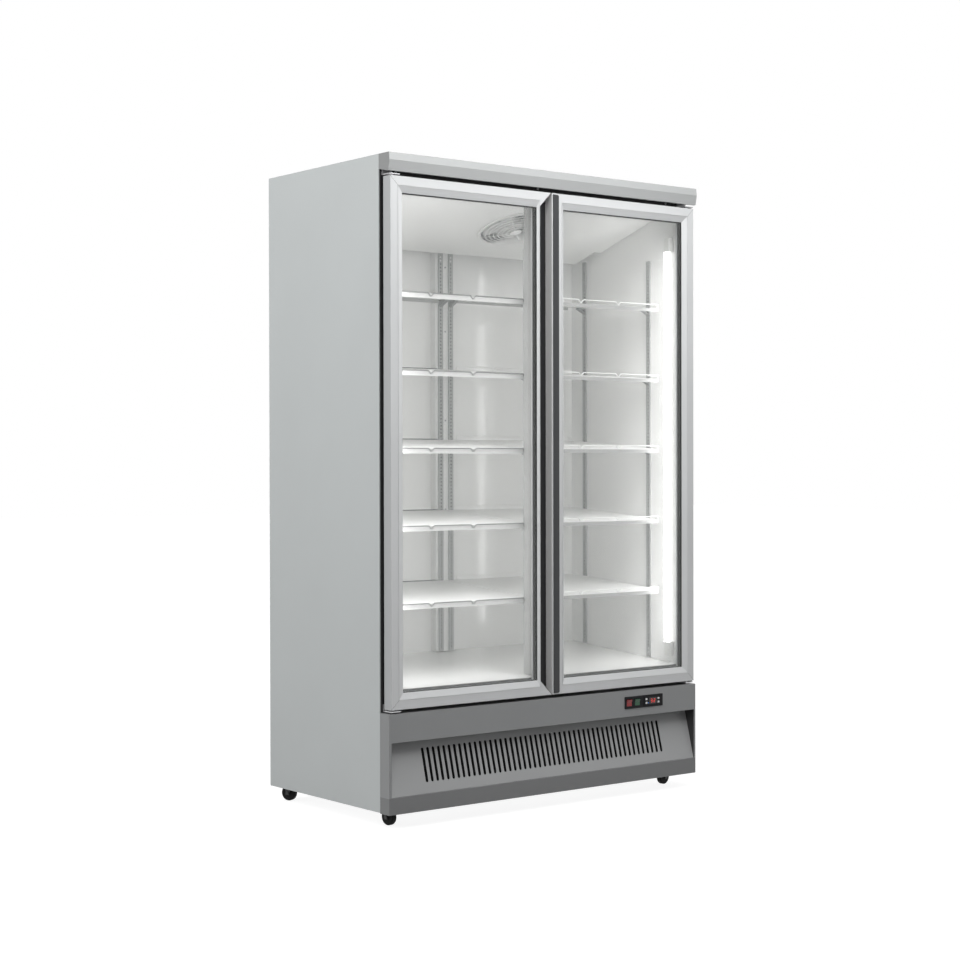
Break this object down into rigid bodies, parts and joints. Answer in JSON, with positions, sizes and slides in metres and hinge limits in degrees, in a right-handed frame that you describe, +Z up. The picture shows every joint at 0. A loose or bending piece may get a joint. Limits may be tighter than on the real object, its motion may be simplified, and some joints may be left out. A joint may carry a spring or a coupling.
{
  "type": "upright glass-door display refrigerator",
  "caption": "Upright display refrigerator with side-by-side hinged glass doors, sloped wire-fronted shelves, a canopy, a slotted lower grille with controls, and swivel casters.",
  "frame": {"origin": "centre of the object's footprint, on the floor", "axes": "+Z up, -Y out of the front with the doors, +X to the right seen from the front"},
  "size_m": [1.253, 0.67, 1.997],
  "materials": {
    "silver_paint": "satin",
    "grey_fascia_paint": "satin",
    "black_paint": "satin",
    "white_sheet": "satin",
    "white_wire": "gloss",
    "galvanised_steel": "satin",
    "steel": "satin",
    "aluminium": "satin",
    "copper": "satin",
    "foam": "matte",
    "clear_glass": "polished",
    "black_rubber": "matte",
    "black_plastic": "matte",
    "dark_grey_plastic": "satin",
    "white_plastic": "satin",
    "grey_plastic": "satin",
    "red_plastic": "gloss",
    "green_plastic": "gloss",
    "red_display": "gloss",
    "lamp_diffuser": "satin"
  },
  "bodies": {
    "cabinet": {"side_panels": "silver_paint", "top_and_back_panel": "galvanised_steel", "inner_liner": "white_sheet", "insulation_foam": "foam", "base_tray": "galvanised_steel", "rear_grille": "galvanised_steel", "front_frame": "black_paint", "centre_mullion": "white_sheet", "shelf_post": "white_sheet", "canopy": "silver_paint", "lower_fascia": "grey_fascia_paint", "air_grille": "grey_fascia_paint", "control_plate": "black_plastic", "controller_body": "black_plastic", "display_window": "red_display", "hinge_brackets": "steel", "shelf_standards": "galvanised_steel", "shelf_clips": "galvanised_steel", "left_shelves": "white_sheet", "right_shelves": "white_sheet", "shelf_rails": "white_wire", "lamps": "lamp_diffuser", "lamp_holders": "white_plastic", "evaporator_cover": "white_sheet", "fan_guard": "white_wire", "evaporator_coil": "aluminium", "compressor": "black_paint", "condenser_coil": "aluminium", "fan_shroud": "galvanised_steel", "fan_motors": "dark_grey_plastic", "electrics_box": "grey_plastic", "copper_pipes": "copper", "caster_plates": "steel", "screws": "steel"},
    "left_door": {"left_door_frame": "aluminium", "left_door_glass": "clear_glass", "left_door_seals": "black_rubber", "left_door_bushes": "white_plastic", "left_grip_liner": "black_plastic"},
    "right_door": {"right_door_frame": "aluminium", "right_door_glass": "clear_glass", "right_door_seals": "black_rubber", "right_door_bushes": "white_plastic", "right_grip_strip": "dark_grey_plastic"},
    "red_rocker": {"red_rocker": "red_plastic"},
    "green_rocker": {"green_rocker": "green_plastic"},
    "button_set": {"button_set": "white_plastic"},
    "button_light": {"button_light": "white_plastic"},
    "button_up": {"button_up": "white_plastic"},
    "button_down": {"button_down": "white_plastic"},
    "evaporator_fan": {"evaporator_fan": "grey_plastic"},
    "condenser_fan": {"condenser_fan": "grey_plastic"},
    "front_left_fork": {"front_left_fork": "black_paint"},
    "front_left_wheel": {"front_left_wheel": "black_rubber"},
    "front_right_fork": {"front_right_fork": "black_paint"},
    "front_right_wheel": {"front_right_wheel": "black_rubber"},
    "rear_left_fork": {"rear_left_fork": "black_paint"},
    "rear_left_wheel": {"rear_left_wheel": "black_rubber"},
    "rear_right_fork": {"rear_right_fork": "black_paint"},
    "rear_right_wheel": {"rear_right_wheel": "black_rubber"}
  },
  "joints": [
    {"name": "left_door_hinge", "type": "hinge", "parent": "cabinet", "child": "left_door", "pos_m": [-0.609, -0.316, 1.1435], "axis": [0, 0, -1], "range_deg": [0, 105]},
    {"name": "right_door_hinge", "type": "hinge", "parent": "cabinet", "child": "right_door", "pos_m": [0.609, -0.316, 1.1435], "axis": [0, 0, 1], "range_deg": [0, 105]},
    {"name": "red_rocker_tip", "type": "hinge", "parent": "cabinet", "child": "red_rocker", "pos_m": [0.3245, -0.324, 0.3055], "axis": [-1, 0, 0], "range_deg": [0, 14]},
    {"name": "green_rocker_tip", "type": "hinge", "parent": "cabinet", "child": "green_rocker", "pos_m": [0.36, -0.324, 0.3055], "axis": [-1, 0, 0], "range_deg": [0, 14]},
    {"name": "button_set_press", "type": "slide", "parent": "cabinet", "child": "button_set", "axis": [0, 1, 0], "range_m": [0, 0.0009], "stiffness_N_per_m": 300},
    {"name": "button_light_press", "type": "slide", "parent": "cabinet", "child": "button_light", "axis": [0, 1, 0], "range_m": [0, 0.0009], "stiffness_N_per_m": 300},
    {"name": "button_up_press", "type": "slide", "parent": "cabinet", "child": "button_up", "axis": [0, 1, 0], "range_m": [0, 0.0009], "stiffness_N_per_m": 300},
    {"name": "button_down_press", "type": "slide", "parent": "cabinet", "child": "button_down", "axis": [0, 1, 0], "range_m": [0, 0.0009], "stiffness_N_per_m": 300},
    {"name": "evaporator_fan_spin", "type": "hinge", "parent": "cabinet", "child": "evaporator_fan", "pos_m": [0.105, -0.015, 1.85699], "axis": [0, -0.3108, -0.9505], "continuous": true},
    {"name": "condenser_fan_spin", "type": "hinge", "parent": "cabinet", "child": "condenser_fan", "pos_m": [0.11, -0.19, 0.189], "axis": [0, -1, 0], "continuous": true},
    {"name": "front_left_swivel", "type": "hinge", "parent": "cabinet", "child": "front_left_fork", "pos_m": [-0.565, -0.217, 0.06], "axis": [0, 0, 1], "continuous": true},
    {"name": "front_left_roll", "type": "hinge", "parent": "front_left_fork", "child": "front_left_wheel", "pos_m": [-0.56249, -0.23483, 0.025], "axis": [0.9903, 0.1392, 0], "continuous": true},
    {"name": "front_right_swivel", "type": "hinge", "parent": "cabinet", "child": "front_right_fork", "pos_m": [0.565, -0.217, 0.06], "axis": [0, 0, 1], "continuous": true},
    {"name": "front_right_roll", "type": "hinge", "parent": "front_right_fork", "child": "front_right_wheel", "pos_m": [0.58273, -0.21387, 0.025], "axis": [-0.1736, 0.9848, 0], "continuous": true},
    {"name": "rear_left_swivel", "type": "hinge", "parent": "cabinet", "child": "rear_left_fork", "pos_m": [-0.565, 0.29, 0.06], "axis": [0, 0, 1], "continuous": true},
    {"name": "rear_left_roll", "type": "hinge", "parent": "rear_left_fork", "child": "rear_left_wheel", "pos_m": [-0.57261, 0.30631, 0.025], "axis": [-0.9063, -0.4226, 0], "continuous": true},
    {"name": "rear_right_swivel", "type": "hinge", "parent": "cabinet", "child": "rear_right_fork", "pos_m": [0.565, 0.29, 0.06], "axis": [0, 0, 1], "continuous": true},
    {"name": "rear_right_roll", "type": "hinge", "parent": "rear_right_fork", "child": "rear_right_wheel", "pos_m": [0.57116, 0.30691, 0.025], "axis": [-0.9397, 0.342, 0], "continuous": true}
  ]
}
